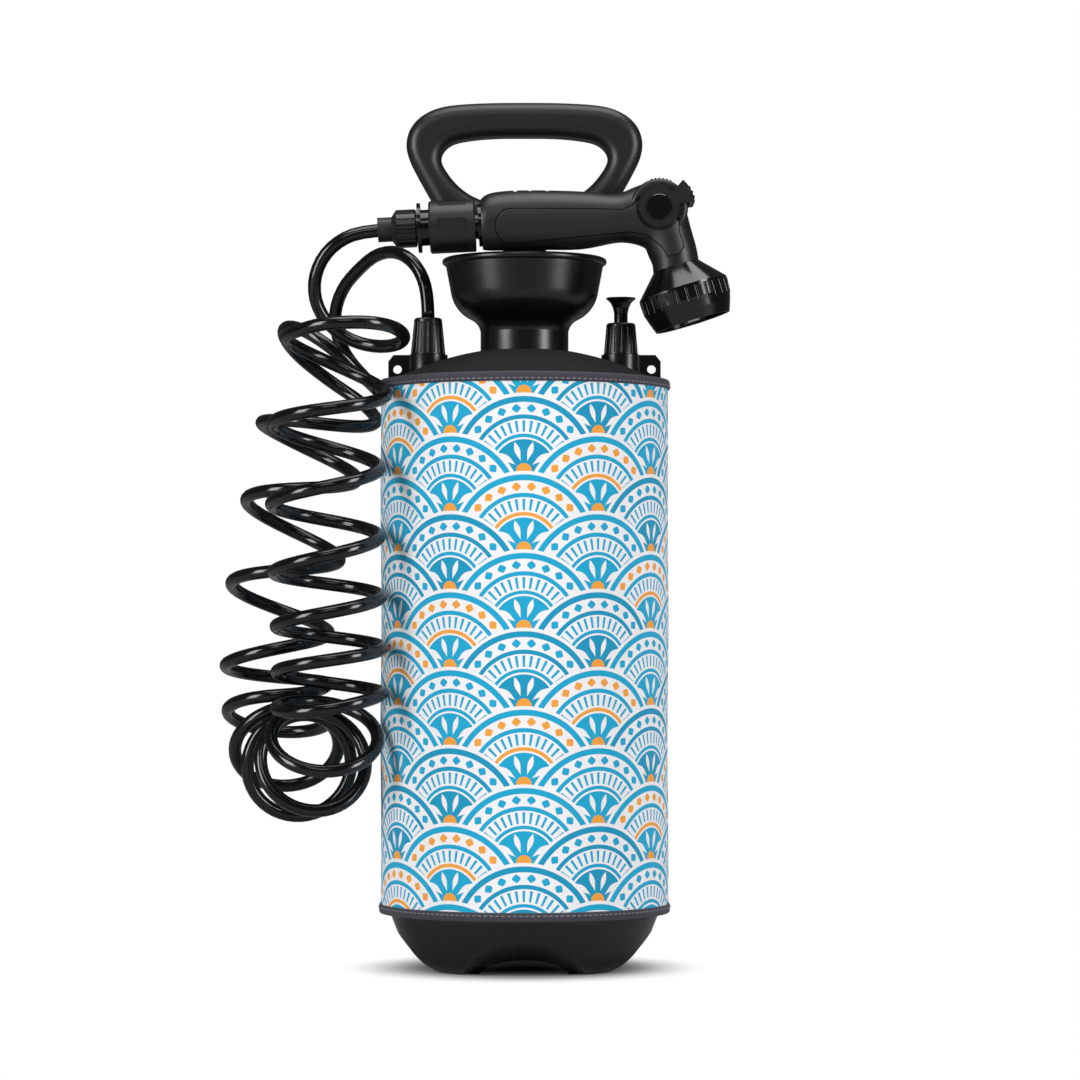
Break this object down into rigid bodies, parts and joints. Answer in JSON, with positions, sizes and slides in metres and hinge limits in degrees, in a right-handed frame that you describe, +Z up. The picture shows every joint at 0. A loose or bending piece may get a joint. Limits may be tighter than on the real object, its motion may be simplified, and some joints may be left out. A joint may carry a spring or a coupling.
{
  "type": "portable shower",
  "caption": "Pump-pressure portable shower: a round soft-sleeved bottle on feet with a filling funnel, hand pump, relief valve, coiled hose and handshower.",
  "frame": {"origin": "on the floor, on the bottle's upright axis, between its four feet", "axes": "+Z up, +X towards the spray head and the relief valve, +Y away from the side the handshower lies on"},
  "size_m": [0.3537, 0.2081, 0.596],
  "materials": {
    "bottle_plastic": "moulded satin black",
    "printed_fabric": "printed knitted face over foam",
    "black_fabric": "matte foam-backed fabric",
    "binding_tape": "woven binding with a stitch line",
    "seal_rubber": "matte",
    "clear_tube": "translucent",
    "white_plastic": "plain",
    "spring_steel": "drawn wire",
    "hose_black": "smooth black hose",
    "coil_black": "coiled hose, light because it is mostly air",
    "rod_alloy": "drawn",
    "grip_plastic": "satin near-black",
    "grip_inlay": "soft-touch black",
    "gloss_black": "polished black"
  },
  "bodies": {
    "tank": {"tank": "bottle_plastic", "funnel": "bottle_plastic", "sleeve": "printed_fabric", "top_panel": "black_fabric", "top_binding": "binding_tape", "bottom_binding": "binding_tape", "outlet_fitting": "bottle_plastic", "outlet_seal": "seal_rubber", "outlet_nut": "bottle_plastic", "dip_tube": "clear_tube", "dip_filter": "white_plastic", "relief_base": "bottle_plastic", "relief_gasket": "seal_rubber", "relief_cap": "bottle_plastic", "relief_spring": "spring_steel", "hose_lead_outlet": "hose_black", "hose_coil_front": "coil_black", "hose_coil_bend": "coil_black", "hose_coil_rear": "coil_black"},
    "pump": {"pump_collar": "bottle_plastic", "collar_seal": "seal_rubber", "pump_barrel": "white_plastic", "rod_guide": "bottle_plastic", "check_valve": "seal_rubber"},
    "plunger": {"pump_rod": "rod_alloy", "piston": "white_plastic", "piston_ring": "seal_rubber", "pump_handle": "grip_plastic", "handle_pin": "spring_steel"},
    "relief": {"relief_stem": "grip_plastic", "relief_poppet_seal": "seal_rubber"},
    "handshower": {"gun_body": "grip_plastic", "grip_panel_front": "grip_inlay", "grip_panel_rear": "grip_inlay", "inlet_nipple": "gloss_black", "inlet_o_ring": "seal_rubber", "connector_body": "gloss_black", "retaining_ring": "spring_steel", "connector_spring": "spring_steel", "hose_nut": "bottle_plastic", "hose_tail": "seal_rubber", "hose_lead_shower": "hose_black", "nozzle_cone": "gloss_black", "head_o_ring": "seal_rubber", "face_screw": "spring_steel"},
    "lever": {"flow_lever": "grip_plastic", "valve_spool": "white_plastic", "pivot_cap_front": "gloss_black", "pivot_cap_rear": "gloss_black"},
    "spray_head": {"spray_ring": "gloss_black", "spray_face": "bottle_plastic"},
    "quick_sleeve": {"connector_sleeve": "grip_plastic"}
  },
  "joints": [
    {"name": "pump_lift", "type": "slide", "parent": "tank", "child": "pump", "axis": [0, 0, 1], "range_m": [0, 0.36]},
    {"name": "pump_stroke", "type": "slide", "parent": "pump", "child": "plunger", "axis": [0, 0, 1], "range_m": [0, 0.22]},
    {"name": "relief_pull", "type": "slide", "parent": "tank", "child": "relief", "axis": [0, 0, 1], "range_m": [0, 0.005], "stiffness_N_per_m": 800, "springref_m": -0.002, "deforming": ["relief_spring"]},
    {"name": "shower_lift", "type": "slide", "parent": "tank", "child": "handshower", "axis": [0, 0, 1], "range_m": [0, 0.25]},
    {"name": "flow_lever_turn", "type": "hinge", "parent": "handshower", "child": "lever", "pos_m": [0.09113, -0.043, 0.51807], "axis": [0, -1, 0], "range_deg": [0, 60]},
    {"name": "head_spin", "type": "hinge", "parent": "handshower", "child": "spray_head", "pos_m": [0.09113, -0.043, 0.51807], "axis": [0.2924, 0, -0.9563], "continuous": true},
    {"name": "quick_release", "type": "slide", "parent": "handshower", "child": "quick_sleeve", "axis": [-0.9988, 0, -0.0488], "range_m": [0, 0.004], "stiffness_N_per_m": 500, "springref_m": -0.002, "deforming": ["connector_spring"]}
  ]
}
